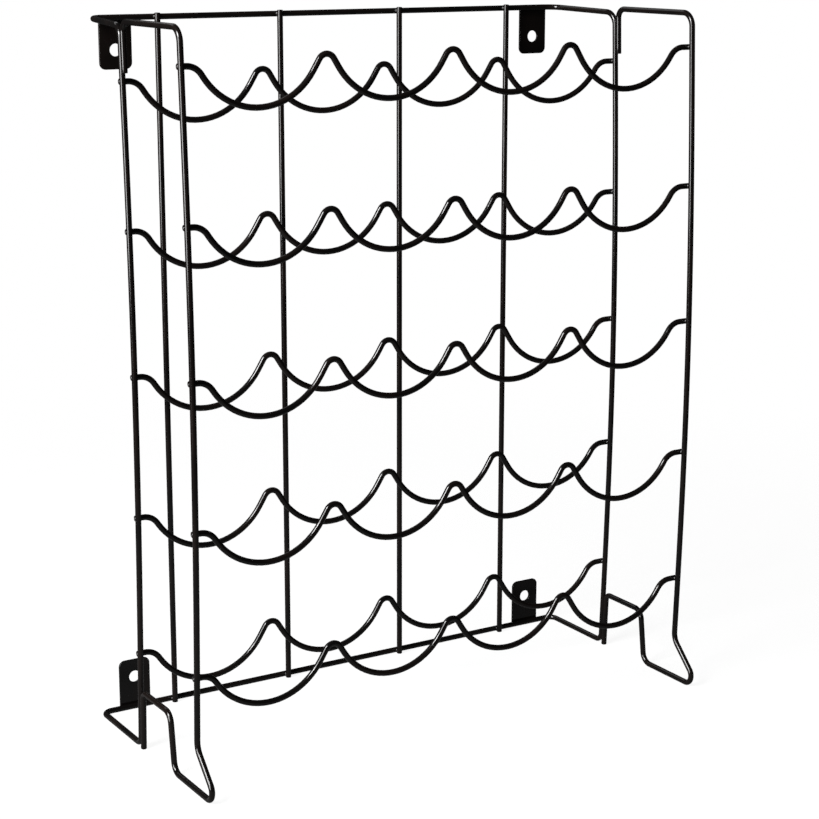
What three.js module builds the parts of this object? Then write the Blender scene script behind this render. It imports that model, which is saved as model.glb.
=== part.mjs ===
// Wire wine rack for twenty lying bottles. Millimetres: X runs along the rack, Y from the front to the wall,
// Z up. The origin is on the floor, in the middle of the rack's footprint.
import * as THREE from "three";

// Wire
const wireDiameter = 5;
const wireRadius = wireDiameter / 2;
const weldGap = 0.3; // clearance kept between two pieces that are welded together
const lap = wireDiameter + weldGap; // distance between the centrelines of two welded wires

// Where the upright planes stand, from the front to the wall
const frontY = -83.2;
const middleY = 26.2;
const rearY = 107.9;

// Rear frame: one loop of wire with two bends at every corner
const rackWidth = 484; // between the centrelines of the left and right uprights
const rearTopWidth = 465; // the top rail is shorter, so the top returns splay
const frameTopZ = 602.5;
const rearRailZ = 605;
const topBend = 12;
const floorBend = 8;

// The four uprights bow forward between floor and top
const bowDepth = 8.4;
const bowStations = 9;

// Side frames
const sideTopZ = 606;
const topLapLength = 40; // of the end that lies along the middle upright
const sideRearBend = 8;
const kickZ = 39; // where the front upright turns forward into its foot
const kickBend = 15;
const footTipY = -121.8;
const footBackY = -41;
const footTipBend = 8;
const footBackBend = 10;
const stepY = -34.7;
const stepZ = 51.3; // of the short bar between the foot and the middle upright
const stepBend = 10;
const stepRearBend = 6;

// Bottle waves: valleys that hold the bottles, joined by tight crests
const valleyPitch = 116;
const valleyRadius = 56;
const crestRadius = 7.5;
const shoulderBend = 8;
const flankAngle = THREE.MathUtils.degToRad(58);
const stubRise = 31; // of the straight end stubs above the valley bottoms
const stubReach = 1; // past the centreline of the upright
const valleyCount = 4;
const waveLevels = 5;
const frontStubZ = 577; // of the highest front wave
const frontWaveDrop = 120;
const backStubZ = 559;
const backWaveDrop = 119;

// Rear rods
const rodXs = [-175, -60, 60, 175];
const rodOverrun = 1; // above the top rail

// Wall tabs
const tabWidth = 29;
const tabReach = 42.5; // from the rail's centreline to the free end
const tabThickness = 2;
const tabCorner = 5.5;
const tabHoleReach = 26.5; // from the rail's centreline to the hole's centre
const tabHoleRadius = 5.25;
const tabX = 210;

// Facets
const sectionSides = 8;
const widestStep = THREE.MathUtils.degToRad(20);
const arcTolerance = 0.5;
const holeSegments = 12;

const lacquer = { color: 0x0c0c0d, roughness: 0.35, metalness: 0.3 };

const point = (x, y, z) => new THREE.Vector3(x, y, z);

// How far forward an upright bows at a height.
function bowAt(z) {
  return bowDepth * Math.sin((Math.PI * z) / frameTopZ);
}

// Steps for an arc that keep it within the tolerance of a true one.
function arcSteps(turn, radius) {
  const step = Math.min(widestStep, 2 * Math.acos(1 - arcTolerance / radius));
  return Math.ceil(turn / step);
}

// Places and headings along a wire that runs from corner to corner, bent to each corner's radius. A corner
// with no radius gets one station, halfway through its turn.
function bendWire(corners) {
  const last = corners.length - 1;
  const headings = [];
  for (let i = 0; i < last; i += 1) {
    headings.push(corners[i + 1].at.clone().sub(corners[i].at).normalize());
  }
  const stations = [{ at: corners[0].at, heading: headings[0] }];
  for (let i = 1; i < last; i += 1) {
    const arriving = headings[i - 1];
    const leaving = headings[i];
    const { at, radius } = corners[i];
    if (!radius) {
      stations.push({ at, heading: arriving.clone().add(leaving).normalize() });
      continue;
    }
    const turn = arriving.angleTo(leaving);
    const inward = leaving.clone().addScaledVector(arriving, -Math.cos(turn)).normalize();
    const start = at.clone().addScaledVector(arriving, -radius * Math.tan(turn / 2));
    const steps = arcSteps(turn, radius);
    for (let k = 0; k <= steps; k += 1) {
      const swept = (turn * k) / steps;
      const place = start.clone().addScaledVector(arriving, radius * Math.sin(swept));
      place.addScaledVector(inward, radius * (1 - Math.cos(swept)));
      const heading = arriving.clone().multiplyScalar(Math.cos(swept));
      heading.addScaledVector(inward, Math.sin(swept));
      stations.push({ at: place, heading });
    }
  }
  stations.push({ at: corners[last].at, heading: headings[last - 1] });
  return stations;
}

// A centreline that is read only at its stations.
class WireLine extends THREE.Curve {
  constructor(stations) {
    super();
    this.stations = stations;
  }

  station(u) {
    return this.stations[Math.round(u * (this.stations.length - 1))];
  }

  getPointAt(u, target = new THREE.Vector3()) {
    return target.copy(this.station(u).at);
  }

  getTangentAt(u, target = new THREE.Vector3()) {
    return target.copy(this.station(u).heading);
  }
}

// The wire's section, with its flats facing along and across each bend.
function wireSection() {
  const radius = wireRadius / Math.cos(Math.PI / sectionSides);
  const points = [];
  for (let i = 0; i < sectionSides; i += 1) {
    const angle = (2 * Math.PI * (i + 0.5)) / sectionSides;
    points.push(new THREE.Vector2(radius * Math.cos(angle), radius * Math.sin(angle)));
  }
  return new THREE.Shape(points);
}

function addPiece(group, name, geometry) {
  const mesh = new THREE.Mesh(geometry, new THREE.MeshStandardMaterial(lacquer));
  mesh.name = name;
  group.add(mesh);
}

function addWire(group, name, corners) {
  const stations = bendWire(corners);
  const geometry = new THREE.ExtrudeGeometry(wireSection(), {
    steps: stations.length - 1,
    extrudePath: new WireLine(stations),
    bevelEnabled: false,
  });
  addPiece(group, name, geometry);
}

// Corner points of a bowed upright, from one height to another, ends left out.
function bowedRun(x, y, fromZ, toZ) {
  const corners = [];
  for (let i = 1; i <= bowStations; i += 1) {
    const z = fromZ + ((toZ - fromZ) * i) / (bowStations + 1);
    corners.push({ at: point(x, y - bowAt(z), z) });
  }
  return corners;
}

// Half of the rear frame, from the floor rail round to the top rail, on the side that the sign gives.
function rearFrameHalf(side) {
  const x = (side * rackWidth) / 2;
  return [
    { at: point(x, rearY, wireRadius), radius: floorBend },
    { at: point(x, middleY, wireRadius), radius: floorBend },
    ...bowedRun(x, middleY, wireRadius, frameTopZ),
    { at: point(x, middleY, frameTopZ), radius: topBend },
    { at: point((side * rearTopWidth) / 2, rearY, rearRailZ), radius: topBend },
  ];
}

// The loop's two ends meet in the middle of the floor rail.
function rearFrameCorners() {
  return [
    { at: point(weldGap / 2, rearY, wireRadius) },
    ...rearFrameHalf(1),
    ...rearFrameHalf(-1).reverse(),
    { at: point(-weldGap / 2, rearY, wireRadius) },
  ];
}

// From its end on the middle upright: over the top, down the front, round the foot, up to the step bar and
// down the middle upright to the floor.
function sideFrameCorners(side) {
  const x = (side * rackWidth) / 2;
  const lapY = middleY - lap;
  const startZ = sideTopZ - topLapLength;
  return [
    { at: point(x, lapY - bowAt(startZ), startZ) },
    { at: point(x, lapY, sideTopZ), radius: sideRearBend },
    { at: point(x, frontY, sideTopZ), radius: topBend },
    ...bowedRun(x, frontY, sideTopZ, kickZ),
    { at: point(x, frontY - bowAt(kickZ), kickZ), radius: kickBend },
    { at: point(x, footTipY, wireRadius), radius: footTipBend },
    { at: point(x, footBackY, wireRadius), radius: footBackBend },
    { at: point(x, stepY, stepZ), radius: stepBend },
    { at: point(x, lapY - bowAt(stepZ), stepZ), radius: stepRearBend },
    { at: point(x, lapY, weldGap) },
  ];
}

// A zigzag of equal flanks with a wide bend in each valley, a tight one on each crest, and a straight stub
// at each end that is welded behind the upright.
function waveCorners(y, stubZ) {
  const slope = Math.tan(flankAngle);
  const sharpness = 1 / Math.cos(flankAngle) - 1;
  const valleyZ = stubZ - stubRise - valleyRadius * sharpness;
  const crestZ = valleyZ + (slope * valleyPitch) / 2;
  const firstValleyX = (-valleyPitch * (valleyCount - 1)) / 2;
  const shoulderX = firstValleyX - (stubZ - valleyZ) / slope;
  const endX = rackWidth / 2 + stubReach;
  const corners = [
    { at: point(-endX, y, stubZ) },
    { at: point(shoulderX, y, stubZ), radius: shoulderBend },
  ];
  for (let i = 0; i < valleyCount; i += 1) {
    const x = firstValleyX + valleyPitch * i;
    corners.push({ at: point(x, y, valleyZ), radius: valleyRadius });
    if (i < valleyCount - 1) {
      corners.push({ at: point(x + valleyPitch / 2, y, crestZ), radius: crestRadius });
    }
  }
  corners.push({ at: point(-shoulderX, y, stubZ), radius: shoulderBend });
  corners.push({ at: point(endX, y, stubZ) });
  return corners;
}

// A flat plate with a round hole, standing on its rail. Its free corners are round.
function tabGeometry() {
  const half = tabWidth / 2;
  const shape = new THREE.Shape();
  shape.moveTo(-half, -wireRadius);
  shape.lineTo(half, -wireRadius);
  shape.absarc(half - tabCorner, tabReach - tabCorner, tabCorner, 0, Math.PI / 2, false);
  shape.absarc(tabCorner - half, tabReach - tabCorner, tabCorner, Math.PI / 2, Math.PI, false);
  shape.closePath();
  const hole = new THREE.Path();
  hole.absarc(0, tabHoleReach, tabHoleRadius, 0, 2 * Math.PI, true);
  shape.holes.push(hole);
  const geometry = new THREE.ExtrudeGeometry(shape, {
    depth: tabThickness,
    curveSegments: holeSegments,
    bevelEnabled: false,
  });
  return geometry.rotateX(Math.PI / 2);
}

const rack = new THREE.Group();
rack.name = "wine_rack";

addWire(rack, "rear_frame", rearFrameCorners());
addWire(rack, "left_side_frame", sideFrameCorners(-1));
addWire(rack, "right_side_frame", sideFrameCorners(1));

for (let level = 0; level < waveLevels; level += 1) {
  const frontZ = frontStubZ - frontWaveDrop * level;
  const backZ = backStubZ - backWaveDrop * level;
  addWire(rack, `front_wave_${level + 1}`, waveCorners(frontY - bowAt(frontZ) + lap, frontZ));
  addWire(rack, `back_wave_${level + 1}`, waveCorners(middleY - bowAt(backZ) + lap, backZ));
}

rodXs.forEach((x, i) => {
  const topZ = rearRailZ + wireRadius + rodOverrun;
  addWire(rack, `rear_rod_${i + 1}`, [
    { at: point(x, rearY - lap, weldGap) },
    { at: point(x, rearY - lap, topZ) },
  ]);
});

const tabY = rearY + wireRadius + weldGap + tabThickness;
for (const [end, side] of [["left", -1], ["right", 1]]) {
  const standing = tabGeometry().translate(side * tabX, tabY, wireRadius);
  addPiece(rack, `wall_tab_bottom_${end}`, standing);
  const hanging = tabGeometry().rotateY(Math.PI).translate(side * tabX, tabY, rearRailZ);
  addPiece(rack, `wall_tab_top_${end}`, hanging);
}

export default rack;
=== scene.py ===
import math
import bpy
import numpy as np
from mathutils import Matrix, Vector


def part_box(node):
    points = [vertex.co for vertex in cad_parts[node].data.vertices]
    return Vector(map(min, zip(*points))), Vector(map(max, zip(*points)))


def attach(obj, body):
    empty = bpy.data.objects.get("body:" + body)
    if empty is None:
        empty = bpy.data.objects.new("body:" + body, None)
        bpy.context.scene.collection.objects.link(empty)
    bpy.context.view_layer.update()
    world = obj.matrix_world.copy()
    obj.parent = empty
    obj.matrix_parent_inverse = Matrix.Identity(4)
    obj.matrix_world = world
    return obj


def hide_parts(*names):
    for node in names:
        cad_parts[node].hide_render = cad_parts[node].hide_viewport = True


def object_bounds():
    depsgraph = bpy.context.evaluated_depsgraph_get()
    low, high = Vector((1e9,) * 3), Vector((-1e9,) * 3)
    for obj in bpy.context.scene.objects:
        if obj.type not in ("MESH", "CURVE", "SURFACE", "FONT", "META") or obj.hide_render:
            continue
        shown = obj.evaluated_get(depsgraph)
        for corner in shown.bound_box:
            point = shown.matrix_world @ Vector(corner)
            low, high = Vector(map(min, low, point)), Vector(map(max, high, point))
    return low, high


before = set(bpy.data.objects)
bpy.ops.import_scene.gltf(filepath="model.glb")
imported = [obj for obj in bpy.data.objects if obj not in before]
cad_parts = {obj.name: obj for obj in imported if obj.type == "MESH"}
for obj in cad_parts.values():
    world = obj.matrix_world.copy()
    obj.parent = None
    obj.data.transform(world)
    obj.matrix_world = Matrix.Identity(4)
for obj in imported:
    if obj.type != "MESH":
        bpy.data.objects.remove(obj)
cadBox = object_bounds()
print("frame loaded:", len(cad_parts), "pieces")

# lengths are in millimetres until a mesh is made
perMetre = 1000.0


def boxOf(node):
    # lowest and highest corner of a node, in millimetres
    low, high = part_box(node)
    return np.array(low) * perMetre, np.array(high) * perMetre


class Value:
    # a number on a shader socket: a sum or product with it adds a Math node
    def __init__(self, paint, socket):
        self.paint = paint
        self.socket = socket

    def math(self, operation, first, second):
        return self.paint.node("ShaderNodeMath", {"operation": operation}, {0: first, 1: second})

    def __add__(self, other):
        return self.math("ADD", self, other)

    def __radd__(self, other):
        return self.math("ADD", other, self)

    def __sub__(self, other):
        return self.math("SUBTRACT", self, other)

    def __rsub__(self, other):
        return self.math("SUBTRACT", other, self)

    def __mul__(self, other):
        return self.math("MULTIPLY", self, other)

    def __rmul__(self, other):
        return self.math("MULTIPLY", other, self)


class Paint:
    # the node tree of one material or of the world
    def __init__(self, owner):
        owner.use_nodes = True
        self.tree = owner.node_tree
        self.tree.nodes.clear()

    def node(self, kind, settings, inputs, output=0):
        made = self.tree.nodes.new(kind)
        for name, setting in settings.items():
            setattr(made, name, setting)
        for key, given in inputs.items():
            if isinstance(given, Value):
                self.tree.links.new(given.socket, made.inputs[key])
            else:
                made.inputs[key].default_value = given
        return Value(self, made.outputs[output]) if len(made.outputs) else None

    def noise(self, place, scale, detail=2.0):
        return self.node("ShaderNodeTexNoise", {}, {"Vector": place, "Scale": scale, "Detail": detail})

    def spread(self, noise, low, high):
        # the noise between two levels, stretched to 0 to 1
        return self.node(
            "ShaderNodeMapRange", {}, {"Value": noise, "From Min": low, "From Max": high}
        )

    def blend(self, mask, first, second):
        settings = {"data_type": "RGBA"}
        return self.node("ShaderNodeMix", settings, {"Factor": mask, "A": first, "B": second}, 2)


coat = {
    "black": (0.0022, 0.0020, 0.0020, 1.0),
    "warm": (0.0060, 0.0042, 0.0036, 1.0),   # where the coat is thin it looks a little brown
    "cloudScale": 22.0,      # patches of about 45 mm
    "cloudDetail": 4.0,
    "cloudRange": (0.35, 0.65),
    "peelScale": 420.0,      # orange peel of about 2.4 mm
    "grainScale": 2600.0,    # fine texture of the cured powder
    "peelHeight": 0.0000010,
    "grainHeight": 0.0000002,
    "roughness": 0.17,
    "roughnessSpread": 0.05,
    "topCoat": 0.3,          # the clear gloss of the cured film
    "topCoatSpread": 0.12,
    "topCoatRoughness": 0.08,
    "specular": 0.3,
    "tabPeel": 0.7,          # peel on the flat tabs, as a share of the wires'
    "tabDullness": 0.05,     # added to the roughness
    "weldPeel": 1.6,
    "weldDullness": 0.08,
}


def powderCoat(name, peelScale, roughness):
    # black polyester powder: patchy colour and gloss, orange peel and a fine grain
    material = bpy.data.materials.new(name)
    paint = Paint(material)
    place = paint.node("ShaderNodeTexCoord", {}, {}, "Object")
    cloud = paint.spread(paint.noise(place, coat["cloudScale"], coat["cloudDetail"]), *coat["cloudRange"])
    peel = paint.noise(place, peelScale, 1.0)
    grain = paint.noise(place, coat["grainScale"], 2.0)
    colour = paint.blend(cloud, coat["black"], coat["warm"])
    gloss = (roughness - coat["roughnessSpread"] / 2) + cloud * coat["roughnessSpread"]
    film = coat["topCoat"] - cloud * coat["topCoatSpread"]
    grainBump = paint.node(
        "ShaderNodeBump", {}, {"Height": grain, "Distance": coat["grainHeight"], "Strength": 1.0}
    )
    bump = paint.node(
        "ShaderNodeBump", {},
        {"Height": peel, "Distance": coat["peelHeight"], "Strength": 1.0, "Normal": grainBump},
    )
    shader = paint.node("ShaderNodeBsdfPrincipled", {}, {
        "Base Color": colour,
        "Roughness": gloss,
        "Specular IOR Level": coat["specular"],
        "Coat Weight": film,
        "Coat Roughness": coat["topCoatRoughness"],
        "Normal": bump,
    })
    paint.node("ShaderNodeOutputMaterial", {}, {"Surface": shader})
    return material


wireCoat = powderCoat("wirePowderCoat", coat["peelScale"], coat["roughness"])
tabCoat = powderCoat(
    "tabPowderCoat", coat["peelScale"] * coat["tabPeel"], coat["roughness"] + coat["tabDullness"]
)
weldCoat = powderCoat(
    "weldPowderCoat", coat["peelScale"] * coat["weldPeel"], coat["roughness"] + coat["weldDullness"]
)
print("coats mixed")


def gridFaces(rows, columns, closedRows, closedColumns):
    # quads of a grid of points, numbered row by row; a closed direction joins its last line to its first
    i, j = np.meshgrid(
        np.arange(rows if closedRows else rows - 1),
        np.arange(columns if closedColumns else columns - 1),
        indexing="ij",
    )
    nextI = (i + 1) % rows
    nextJ = (j + 1) % columns
    corners = [i * columns + j, i * columns + nextJ, nextI * columns + nextJ, nextI * columns + j]
    return np.stack(corners, -1).reshape(-1, 4)


def makePiece(name, points, quads, triangles, material, replaced):
    # a smooth mesh piece of quads and triangles that rides on the rack and stands for its CAD nodes
    mesh = bpy.data.meshes.new(name)
    faces = quads.tolist() + triangles.tolist()
    mesh.from_pydata((points / perMetre).tolist(), [], faces)
    mesh.polygons.foreach_set("use_smooth", np.ones(len(faces), bool))
    mesh.materials.append(material)
    mesh.update()
    piece = bpy.data.objects.new(name, mesh)
    bpy.context.scene.collection.objects.link(piece)
    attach(piece, "root")
    if replaced:
        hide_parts(*replaced)
    return piece


wire = {
    "radius": float((boxOf("rear_rod_1")[1] - boxOf("rear_rod_1")[0])[0] / 2),
    "gap": 0.3,              # that the CAD leaves between welded wires
    "sink": 0.15,            # how far welded wires sink into each other
    "sides": 28,
    "arcStep": math.radians(5.0),
    "straightStep": 14.0,
    "endRounding": 0.55,     # the coat rounds the sheared ends
    "endDome": 0.12,
    "endRings": 4,
}
lap = 2 * wire["radius"] + wire["gap"]
settle = wire["gap"] + wire["sink"]    # welded pieces are moved together by this much


def bentLine(corners, radii):
    # centreline through corner points: straight runs joined by arcs. An arc of radius r that turns by a is
    # start + r sin(t) along the arriving run + r (1 - cos(t)) towards the inside, for t from 0 to a
    corners = np.array(corners, float)
    runs = np.diff(corners, axis=0)
    headings = runs / np.linalg.norm(runs, axis=1)[:, None]
    pieces = [corners[:1]]
    for i in range(1, len(corners) - 1):
        arriving, leaving, radius = headings[i - 1], headings[i], radii[i]
        turn = math.acos(float(np.clip(arriving @ leaving, -1, 1)))
        start = corners[i] - arriving * radius * math.tan(turn / 2)
        inward = leaving - arriving * math.cos(turn)
        inward = inward / max(np.linalg.norm(inward), 1e-9)
        steps = math.ceil(turn / wire["arcStep"]) if radius else 0
        t = np.linspace(0, turn, steps + 1)[:, None]
        pieces.append(start + radius * (np.sin(t) * arriving + (1 - np.cos(t)) * inward))
    pieces.append(corners[-1:])
    return np.concatenate(pieces)


def evenRuns(line, closed):
    # the same centreline with extra points in its long straight runs
    ring = np.concatenate([line, line[:1]]) if closed else line
    lengths = np.linalg.norm(np.diff(ring, axis=0), axis=1)
    along = np.concatenate([[0], np.cumsum(lengths)])
    counts = np.maximum(1, np.ceil(lengths / wire["straightStep"]).astype(int))
    stations = np.concatenate(
        [np.linspace(along[i], along[i + 1], n, endpoint=False) for i, n in enumerate(counts)]
    )
    if not closed:
        stations = np.append(stations, along[-1])
    return np.stack([np.interp(stations, along, ring[:, k]) for k in range(3)], -1)


def wireMesh(line, inside, closed):
    # circle of the wire's radius carried along the line: point + r (cos(a) across + sin(a) up), where across
    # is square to the line and to the direction given as inside, and up is square to both
    if closed:
        ahead, behind = np.roll(line, -1, 0) - line, line - np.roll(line, 1, 0)
    else:
        ahead = np.diff(line, axis=0, append=2 * line[-1:] - line[-2:-1])
        behind = np.diff(line, axis=0, prepend=2 * line[:1] - line[1:2])
    tangents = ahead / np.linalg.norm(ahead, axis=1)[:, None]
    tangents = tangents + behind / np.linalg.norm(behind, axis=1)[:, None]
    tangents = tangents / np.linalg.norm(tangents, axis=1)[:, None]
    across = np.cross(tangents, inside)
    across = across / np.linalg.norm(across, axis=1)[:, None]
    up = np.cross(tangents, across)
    radii = np.full(len(line), wire["radius"])
    centres = line
    if not closed:
        # a quarter circle of stations rounds each end
        n = wire["endRings"]
        t = np.radians(np.linspace(0, 90, n))
        e = wire["endRounding"]
        back, drop = e * (1 - np.sin(t)), e * (1 - np.cos(t))
        first = line[0] + tangents[0] * back[::-1, None]
        last = line[-1] - tangents[-1] * back[:, None]
        centres = np.concatenate([first, line[1:-1], last])
        radii = np.concatenate([wire["radius"] - drop[::-1], radii[1:-1], wire["radius"] - drop])
        across = np.concatenate([across[:1].repeat(n, 0), across[1:-1], across[-1:].repeat(n, 0)])
        up = np.concatenate([up[:1].repeat(n, 0), up[1:-1], up[-1:].repeat(n, 0)])
    a = np.linspace(0, 2 * np.pi, wire["sides"], endpoint=False)
    ring = np.cos(a)[None, :, None] * across[:, None] + np.sin(a)[None, :, None] * up[:, None]
    points = (centres[:, None] + radii[:, None, None] * ring).reshape(-1, 3)
    quads = gridFaces(len(centres), wire["sides"], closed, True)
    if closed:
        return points, quads, np.empty((0, 3), int)
    # each flat end is a fan round a slightly raised middle
    middles = [line[0] - tangents[0] * wire["endDome"], line[-1] + tangents[-1] * wire["endDome"]]
    k = np.arange(wire["sides"])
    nextK = (k + 1) % wire["sides"]
    base = (len(centres) - 1) * wire["sides"]
    start = np.stack([np.full_like(k, len(points)), nextK, k], -1)
    end = np.stack([np.full_like(k, len(points) + 1), base + k, base + nextK], -1)
    return np.concatenate([points, middles]), quads, np.concatenate([start, end])


def makeWire(name, line, inside, closed=False):
    # one wire; inside is a direction, or a function that gives one for each point of the line
    line = evenRuns(line, closed)
    inward = inside(line) if callable(inside) else np.broadcast_to(inside, line.shape)
    points, quads, triangles = wireMesh(line, inward, closed)
    return makePiece(name, points, quads, triangles, wireCoat, [name])


frameLow, frameHigh = boxOf("rear_frame")
sideLow, sideHigh = boxOf("right_side_frame")
rearFrame = {
    "x": float(frameHigh[0] - wire["radius"]),
    "topX": 232.5,           # the top rail is shorter than the floor rail
    "topZ": 602.5,
    "railZ": float(frameHigh[2] - wire["radius"]),
    "middleY": float(sideHigh[1] - wire["radius"] + lap),
    "rearY": float(frameHigh[1] - wire["radius"]),
    "topBend": 12.0,
    "floorBend": 8.0,
    "bow": 8.4,              # how far the uprights lean forward at mid height
    "bowPoints": 40,
}


def bowAt(z):
    # half a sine wave from floor to top
    return rearFrame["bow"] * np.sin(np.pi * z / rearFrame["topZ"])


def bowedRun(x, y, fromZ, toZ):
    # points of a bowed upright between two heights, ends left out
    z = np.linspace(fromZ, toZ, rearFrame["bowPoints"] + 2)[1:-1]
    return np.stack([np.full_like(z, x), y - bowAt(z), z], -1)


def rearFrameLine():
    # one loop: floor rail, right upright, top rail, left upright
    f, r = rearFrame, wire["radius"]
    half = [(f["x"], f["rearY"], r), (f["x"], f["middleY"], r)]
    half += bowedRun(f["x"], f["middleY"], r, f["topZ"]).tolist()
    half += [(f["x"], f["middleY"], f["topZ"]), (f["topX"], f["rearY"], f["railZ"])]
    bends = [f["floorBend"]] * 2 + [0] * f["bowPoints"] + [f["topBend"]] * 2
    other = [(-x, y, z) for x, y, z in half[::-1]]
    start = [(0, f["rearY"], r)]
    return bentLine(start + half + other + start, [0] + bends + bends[::-1] + [0])[:-1]


def towardsMiddle(line):
    # the rear loop's inside, which is never along the wire
    middle = np.array([0, line[:, 1].mean(), rearFrame["topZ"] / 2])
    return middle - line


makeWire("rear_frame", rearFrameLine(), towardsMiddle, closed=True)
print("rear frame bent")


sideFrame = {
    "frontY": -83.2,
    "topZ": float(sideHigh[2] - wire["radius"]),
    "topLap": 40.0,          # length of the end welded along the middle upright
    "rearBend": 8.0,
    "frontBend": 12.0,
    "kickZ": 39.0,
    "kickBend": 15.0,
    "tipY": -121.8,
    "tipBend": 8.0,
    "backY": -41.0,
    "backBend": 10.0,
    "stepY": -34.7,
    "stepZ": 51.3,
    "stepBend": 10.0,
    "stepRearBend": 6.0,
    "endZ": 0.3,
}


def sideFrameLine(side):
    # over the top, down the front, round the foot, up the step and down the middle upright
    s, x, r = sideFrame, side * rearFrame["x"], wire["radius"]
    lapY = rearFrame["middleY"] - lap
    startZ = s["topZ"] - s["topLap"]
    corners = [(x, lapY - bowAt(startZ), startZ), (x, lapY, s["topZ"]), (x, s["frontY"], s["topZ"])]
    corners += bowedRun(x, s["frontY"], s["topZ"], s["kickZ"]).tolist()
    corners += [
        (x, s["frontY"] - bowAt(s["kickZ"]), s["kickZ"]),
        (x, s["tipY"], r),
        (x, s["backY"], r),
        (x, s["stepY"], s["stepZ"]),
        (x, lapY - bowAt(s["stepZ"]), s["stepZ"]),
        (x, lapY, s["endZ"]),
    ]
    bends = [0, s["rearBend"], s["frontBend"]] + [0] * rearFrame["bowPoints"]
    bends += [s["kickBend"], s["tipBend"], s["backBend"], s["stepBend"], s["stepRearBend"], 0]
    return bentLine(corners, bends) + [0, settle, 0]


for name, side in (("left_side_frame", -1), ("right_side_frame", 1)):
    makeWire(name, sideFrameLine(side), (1.0, 0.0, 0.0))
print("side frames bent")


wave = {
    "pitch": 116.0,
    "valleyRadius": 56.0,
    "crestRadius": 7.5,
    "shoulderReach": 53.4,   # from the end valley's centre to the corner where the stub begins
    "shoulderBend": 15.0,
    "flank": math.radians(58.0),
    "valleyDrop": 31.0,      # of the inner valleys below the stubs; the end ones hang 2 mm lower
    "valleys": 4,
    "levels": 5,
}


def waveLine(node, shiftY):
    # zigzag with a wide arc in each valley, a tight one on each crest and a stub at each end, where the
    # flanks lean out a little more than the others
    low, high = boxOf(node)
    y = (low[1] + high[1]) / 2 + shiftY
    slope, sharpness = math.tan(wave["flank"]), 1 / math.cos(wave["flank"]) - 1
    stubZ = low[2] + wire["radius"] + wave["valleyDrop"]
    valleyZ = stubZ - wave["valleyDrop"] - wave["valleyRadius"] * sharpness
    crestZ = valleyZ + slope * wave["pitch"] / 2
    firstX = -wave["pitch"] * (wave["valleys"] - 1) / 2
    shoulderX = firstX - wave["shoulderReach"]
    xs = firstX + wave["pitch"] / 2 * np.arange(2 * wave["valleys"] - 1)
    zs = np.where(np.arange(len(xs)) % 2, crestZ, valleyZ)
    bends = np.where(np.arange(len(xs)) % 2, wave["crestRadius"], wave["valleyRadius"])
    xs = np.concatenate([[low[0], shoulderX], xs, [-shoulderX, high[0]]])
    zs = np.concatenate([[stubZ, stubZ], zs, [stubZ, stubZ]])
    bends = np.concatenate([[0, wave["shoulderBend"]], bends, [wave["shoulderBend"], 0]])
    return bentLine(np.stack([xs, np.full_like(xs, y), zs], -1), bends)


for level in range(1, wave["levels"] + 1):
    for row, shiftY in (("front", 0.0), ("back", -settle)):
        name = f"{row}_wave_{level}"
        makeWire(name, waveLine(name, shiftY), (0.0, 1.0, 0.0))
print("waves bent")


rodNodes = [f"rear_rod_{i}" for i in range(1, 5)]


def rodLine(node):
    # straight up, moved back onto the rails
    low, high = boxOf(node)
    x, y = (low[0] + high[0]) / 2, (low[1] + high[1]) / 2 + settle
    return np.array([(x, y, low[2]), (x, y, high[2])])


for name in rodNodes:
    makeWire(name, rodLine(name), (0.0, 1.0, 0.0))
print("rods cut")


tab = {
    "corner": 5.5,           # of the free end
    "seatCorner": 0.8,
    "holeReach": 26.5,       # from the rail's centreline
    "holeRadius": 5.25,
    "edge": 0.45,            # rounding of the punched edges under the coat
    "cornerPoints": 14,
    "sidePoints": 12,
    "faceRings": 8,
    "edgeRings": 6,
}


def roundedOutline(half, bottom, top):
    # outline of a plate with four quarter-circle corners, as points and outward directions, anticlockwise
    seat, free = tab["seatCorner"], tab["corner"]
    corners = [
        (half - seat, bottom + seat, seat, -90),
        (half - free, top - free, free, 0),
        (free - half, top - free, free, 90),
        (seat - half, bottom + seat, seat, 180),
    ]
    points, outward = [], []
    for x, z, radius, start in corners:
        a = np.radians(np.linspace(start, start + 90, tab["cornerPoints"]))
        direction = np.stack([np.cos(a), np.sin(a)], -1)
        points.append(np.array([x, z]) + radius * direction)
        outward.append(direction)
    joined, directions = [], []
    for i in range(4):
        # points along the straight side from this corner to the next
        a, b = points[i][-1], points[(i + 1) % 4][0]
        t = np.linspace(0, 1, tab["sidePoints"] + 2)[1:-1, None]
        joined += [points[i], a + (b - a) * t]
        directions += [outward[i], outward[i][-1:].repeat(tab["sidePoints"], 0)]
    return np.concatenate(joined), np.concatenate(directions)


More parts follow.
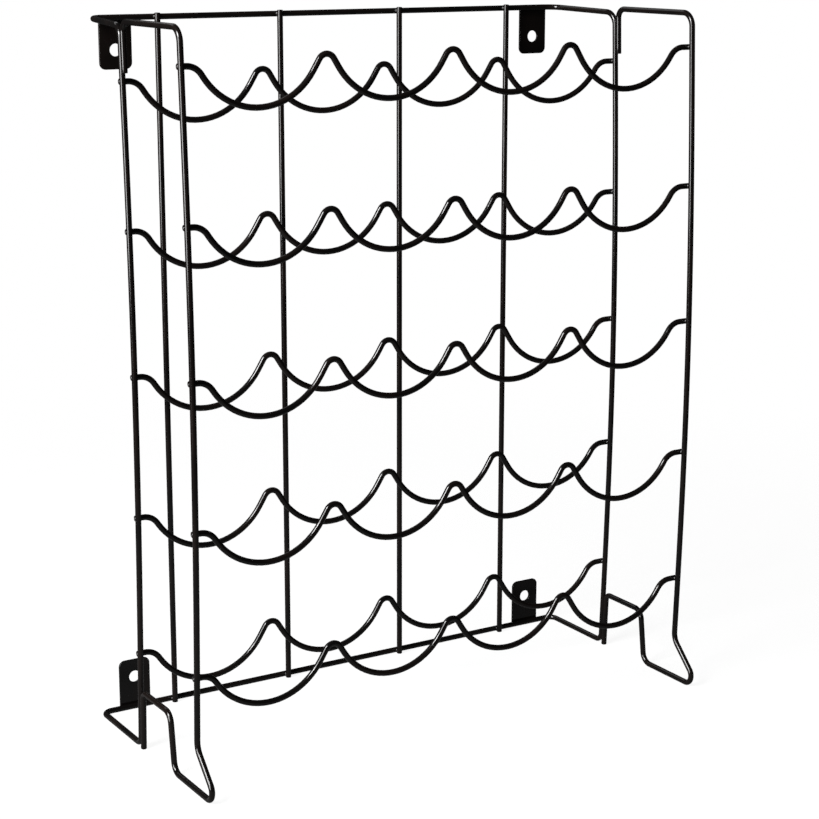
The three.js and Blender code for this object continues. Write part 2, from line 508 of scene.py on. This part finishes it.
def tabMesh(node, direction):
    # closed ring section carried round the hole: across the front face from hole to outline, over the outer
    # edge, back across the rear face and through the hole, each edge a quarter circle
    low, high = boxOf(node)
    half, thick = (high[0] - low[0]) / 2, (high[1] - low[1]) / 2
    reach = high[2] - low[2] - wire["radius"]
    outline, outward = roundedOutline(half, -wire["radius"], reach)
    hole = np.array([0, tab["holeReach"]])
    away = outline - hole
    away = away / np.linalg.norm(away, axis=1)[:, None]
    inner = hole + tab["holeRadius"] * away
    e, t = tab["edge"], np.radians(np.linspace(0, 90, tab["edgeRings"]))
    faceIn, faceOut = inner + away * e, outline - outward * e
    share = np.linspace(0, 1, tab["faceRings"])
    rings = [(inner + away * e * (1 - s), -thick + e * (1 - c)) for s, c in zip(np.cos(t), np.sin(t))]
    rings += [(faceIn + (faceOut - faceIn) * u, -thick) for u in share[1:-1]]
    rings += [(faceOut + outward * e * s, -thick + e * (1 - c)) for s, c in zip(np.sin(t), np.cos(t))]
    rings += [(faceOut + outward * e * s, thick - e * (1 - c)) for s, c in zip(np.cos(t), np.sin(t))]
    rings += [(faceIn + (faceOut - faceIn) * u, thick) for u in share[-2:0:-1]]
    rings += [(inner + away * e * (1 - s), thick - e * (1 - c)) for s, c in zip(np.sin(t), np.cos(t))]
    flat = np.stack([r for r, _ in rings])
    depth = np.stack([np.broadcast_to(y, len(outline)) for _, y in rings])
    railZ = low[2] + wire["radius"] if direction > 0 else high[2] - wire["radius"]
    x = (low[0] + high[0]) / 2 + direction * flat[..., 0]
    y = (low[1] + high[1]) / 2 - settle + depth
    z = railZ + direction * flat[..., 1]
    points = np.stack([x, y, z], -1).reshape(-1, 3)
    return points, gridFaces(len(rings), len(outline), True, True)[:, ::-1]


for end in ("left", "right"):
    for row, direction in (("bottom", 1), ("top", -1)):
        name = f"wall_tab_{row}_{end}"
        points, quads = tabMesh(name, direction)
        makePiece(name, points, quads, np.empty((0, 3), int), tabCoat, [name])
print("wall tabs punched")


weld = {
    "cross": (2.5, 1.45, 2.5),    # half sizes where two wires cross
    "lapBead": (1.5, 1.5, 5.5),   # where two wires lie side by side
    "tabBead": (3.2, 1.0, 1.5),
    "rings": 14,
    "segments": 24,
    "lump": 0.05,                 # unevenness, as a share of the size
    "phaseStep": 1.7,             # turns the lumps from one bead to the next
    "lowLapZ": (7.0, 34.0),       # of the beads above the floor
    "topLapZ": (7.0, 25.0),       # above the lap's end at the top
    "tabBeadX": 8.5,              # of each bead from the tab's middle
}


def beadPoints(centre, size, phase):
    # ellipsoid with slow lumps: each radius times 1 + lump sin(3 longitude + phase) sin(2 latitude + phase)
    latitude = np.linspace(0, np.pi, weld["rings"])[1:-1, None]
    longitude = np.linspace(0, 2 * np.pi, weld["segments"], endpoint=False)[None]
    uneven = 1 + weld["lump"] * np.sin(3 * longitude + phase) * np.sin(2 * latitude + phase)
    x = np.sin(latitude) * np.cos(longitude) * uneven
    y = np.sin(latitude) * np.sin(longitude) * uneven
    z = np.cos(latitude) * uneven
    body = np.stack([x, y, z], -1).reshape(-1, 3)
    return centre + np.concatenate([body, [[0, 0, 1], [0, 0, -1]]]) * size


def makeBeads(name, centres, size):
    # many closed beads in one mesh
    rows, n = weld["rings"] - 2, weld["segments"]
    k = np.arange(n)
    nextK = (k + 1) % n
    count = rows * n + 2
    quads = gridFaces(rows, n, False, True)[:, ::-1]
    top = np.stack([np.full(n, count - 2), k, nextK], -1)
    bottom = np.stack([np.full(n, count - 1), (rows - 1) * n + nextK, (rows - 1) * n + k], -1)
    triangles = np.concatenate([top, bottom])
    size = np.array(size)
    points = [beadPoints(np.array(c), size, weld["phaseStep"] * i) for i, c in enumerate(centres)]
    first = count * np.arange(len(centres))[:, None, None]
    makePiece(
        name, np.concatenate(points), (quads + first).reshape(-1, 4),
        (triangles + first).reshape(-1, 3), weldCoat, [],
    )


def waveWelds():
    # between each stub and the back of its upright
    centres = []
    for level in range(1, wave["levels"] + 1):
        for row, uprightY, shiftY in (
            ("front", sideFrame["frontY"] + settle, 0.0),
            ("back", rearFrame["middleY"], -settle),
        ):
            low, high = boxOf(f"{row}_wave_{level}")
            z = low[2] + wire["radius"] + wave["valleyDrop"]
            y = ((low[1] + high[1]) / 2 + shiftY + uprightY - bowAt(z)) / 2
            centres += [(-rearFrame["x"], y, z), (rearFrame["x"], y, z)]
    return centres


def rodWelds():
    # between each rod and the two rear rails
    centres = []
    for name in rodNodes:
        low, high = boxOf(name)
        x, y = (low[0] + high[0]) / 2, (low[1] + high[1]) / 2 + settle
        for z in (wire["radius"], rearFrame["railZ"]):
            centres.append((x, (y + rearFrame["rearY"]) / 2, z))
    return centres


def lapWelds():
    # between the side frames' ends and the middle uprights
    topEnd = sideFrame["topZ"] - sideFrame["topLap"]
    heights = [*weld["lowLapZ"], *(topEnd + z for z in weld["topLapZ"])]
    y = rearFrame["middleY"] - (lap - settle) / 2
    return [(side * rearFrame["x"], y - bowAt(z), z) for side in (-1, 1) for z in heights]


def tabWelds():
    # between each tab and its rail
    centres = []
    for end in ("left", "right"):
        for row, z in (("bottom", wire["radius"]), ("top", rearFrame["railZ"])):
            low, high = boxOf(f"wall_tab_{row}_{end}")
            x = (low[0] + high[0]) / 2
            y = low[1] - settle
            centres += [(x - weld["tabBeadX"], y, z), (x + weld["tabBeadX"], y, z)]
    return centres


makeBeads("wave_welds", waveWelds(), weld["cross"])
makeBeads("rod_welds", rodWelds(), weld["cross"])
makeBeads("lap_welds", lapWelds(), weld["lapBead"])
makeBeads("tab_welds", tabWelds(), weld["tabBead"])
print("welds run")


studio = {
    "floorHalf": 3.0,
    "floorColour": (0.93, 0.93, 0.925, 1.0),
    "floorRoughness": 0.9,
    "floorSpecular": 0.1,
    "floorGlow": 0.2,        # evens out the light on the floor
    "floorShare": 0.1,       # of the floor against the backdrop, where the rack stands
    "fadeFrom": 0.35,        # distance from the rack where the floor starts to melt into the backdrop
    "fadeTo": 1.3,
    "skySeen": 1.0,          # of the backdrop behind the rack
    "skyLight": 0.02,        # what the backdrop adds to the light
}


def makeFloor():
    # a pale floor under the rack that melts into the backdrop
    material = bpy.data.materials.new("paleFloor")
    paint = Paint(material)
    place = paint.node("ShaderNodeTexCoord", {}, {}, "Object")
    reach = paint.node("ShaderNodeVectorMath", {"operation": "LENGTH"}, {0: place}, "Value")
    fade = paint.node("ShaderNodeMapRange", {"interpolation_type": "SMOOTHSTEP"}, {
        "Value": reach, "From Min": studio["fadeFrom"], "From Max": studio["fadeTo"],
        "To Min": 1 - studio["floorShare"],
    })
    paper = paint.node("ShaderNodeBsdfPrincipled", {}, {
        "Base Color": studio["floorColour"],
        "Roughness": studio["floorRoughness"],
        "Specular IOR Level": studio["floorSpecular"],
        "Emission Color": (1, 1, 1, 1),
        "Emission Strength": studio["floorGlow"],
    })
    clear = paint.node("ShaderNodeBsdfTransparent", {}, {})
    surface = paint.node("ShaderNodeMixShader", {}, {0: fade, 1: paper, 2: clear})
    paint.node("ShaderNodeOutputMaterial", {}, {"Surface": surface})
    half = studio["floorHalf"]
    mesh = bpy.data.meshes.new("floor")
    corners = [(-half, -half, 0), (half, -half, 0), (half, half, 0), (-half, half, 0)]
    mesh.from_pydata(corners, [], [(0, 1, 2, 3)])
    mesh.materials.append(material)
    floor = bpy.data.objects.new("floor", mesh)
    bpy.context.scene.collection.objects.link(floor)


def makeBackdrop():
    # an even pale backdrop to the eye, and a dim one as a light
    world = bpy.data.worlds.new("backdrop")
    bpy.context.scene.world = world
    paint = Paint(world)
    seen = paint.node("ShaderNodeLightPath", {}, {}, "Is Camera Ray")
    strength = studio["skyLight"] + seen * (studio["skySeen"] - studio["skyLight"])
    sky = paint.node("ShaderNodeBackground", {}, {"Color": (1, 1, 1, 1), "Strength": strength})
    paint.node("ShaderNodeOutputWorld", {}, {"Surface": sky})


softboxes = {
    "leftSoftbox": {"place": (-2.1, -0.45, 0.92), "size": (1.0, 1.7), "watts": 82.0},
    "upperLeftSoftbox": {"place": (-1.7, -0.4, 1.75), "size": (0.9, 0.6), "watts": 62.0},
    "backSoftbox": {"place": (-0.2, 1.8, 1.9), "size": (2.0, 0.9), "watts": 4.0},
}


def makeSoftbox(name, place, size, watts):
    # a rectangular light that looks at the rack's middle
    low, high = cadBox
    lamp = bpy.data.lights.new(name, "AREA")
    lamp.shape = "RECTANGLE"
    lamp.size, lamp.size_y = size
    lamp.energy = watts
    holder = bpy.data.objects.new(name, lamp)
    holder.location = place
    aim = (low + high) / 2 - Vector(place)
    holder.rotation_euler = aim.to_track_quat("-Z", "Y").to_euler()
    bpy.context.scene.collection.objects.link(holder)


makeFloor()
makeBackdrop()
for name, box in softboxes.items():
    makeSoftbox(name, box["place"], box["size"], box["watts"])
bpy.context.scene.view_settings.view_transform = "Standard"

camera = {
    "place": (-0.8763, -1.4410, 0.6785),
    "azimuth": 31.53,        # of the view, clockwise from +Y
    "dip": 12.48,            # below level
    "roll": 0.05,
    "lens": 87.8,
    "sensor": 36.0,
    "shiftY": -0.05,
    "nearest": 0.05,
    "farthest": 50.0,
}


def makeCamera():
    data = bpy.data.cameras.new("camera")
    data.sensor_width = camera["sensor"]
    data.lens = camera["lens"]
    data.shift_y = camera["shiftY"]
    data.clip_start, data.clip_end = camera["nearest"], camera["farthest"]
    holder = bpy.data.objects.new("camera", data)
    azimuth, dip = math.radians(camera["azimuth"]), math.radians(camera["dip"])
    aim = Vector((math.sin(azimuth) * math.cos(dip), math.cos(azimuth) * math.cos(dip), -math.sin(dip)))
    turn = aim.to_track_quat("-Z", "Y").to_matrix().to_4x4()
    roll = Matrix.Rotation(math.radians(camera["roll"]), 4, "Z")
    holder.matrix_world = Matrix.Translation(camera["place"]) @ turn @ roll
    bpy.context.scene.collection.objects.link(holder)
    bpy.context.scene.camera = holder


makeCamera()
print("stage set")
